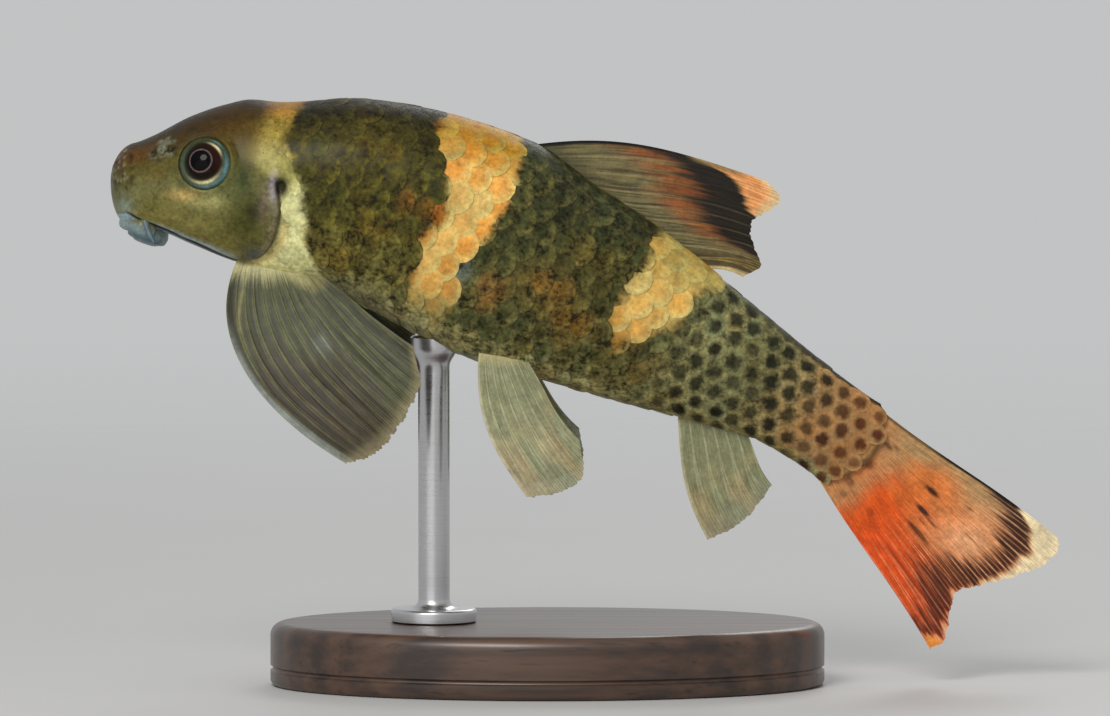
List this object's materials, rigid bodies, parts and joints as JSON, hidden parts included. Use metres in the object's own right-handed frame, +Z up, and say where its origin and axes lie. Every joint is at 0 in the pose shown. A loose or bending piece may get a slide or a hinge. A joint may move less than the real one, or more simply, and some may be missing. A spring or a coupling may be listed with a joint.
{
  "type": "panda garra fish model on a display stand",
  "caption": "Small barred bottom fish with a spread tail fin, swimming nose up, held over an oval base by one rod.",
  "frame": {"origin": "middle of the underside of the stand's oval base, on the surface that it stands on", "axes": "+Z up; the fish faces -X with its left side towards -Y, and its tail hangs towards +X"},
  "size_m": [0.0754, 0.028, 0.0466],
  "materials": {
    "skin": "wet scaled skin",
    "lip": "wet bare skin",
    "eye": "glossy",
    "dark_fin": "satin",
    "pale_fin": "satin",
    "red_fin": "satin",
    "wood": "satin lacquer",
    "steel": "brushed"
  },
  "bodies": {
    "root": {"head": "skin", "gill_cover_left": "skin", "gill_cover_right": "skin", "torso": "skin", "tail_stalk": "skin", "mouth": "lip", "eye_left": "eye", "eye_right": "eye", "dorsal_fin": "dark_fin", "pectoral_fin_left": "dark_fin", "pectoral_fin_right": "dark_fin", "pelvic_fin_left": "pale_fin", "pelvic_fin_right": "pale_fin", "anal_fin": "pale_fin", "caudal_fin": "red_fin", "stand_base": "wood", "stand_rod": "steel"}
  },
  "joints": []
}
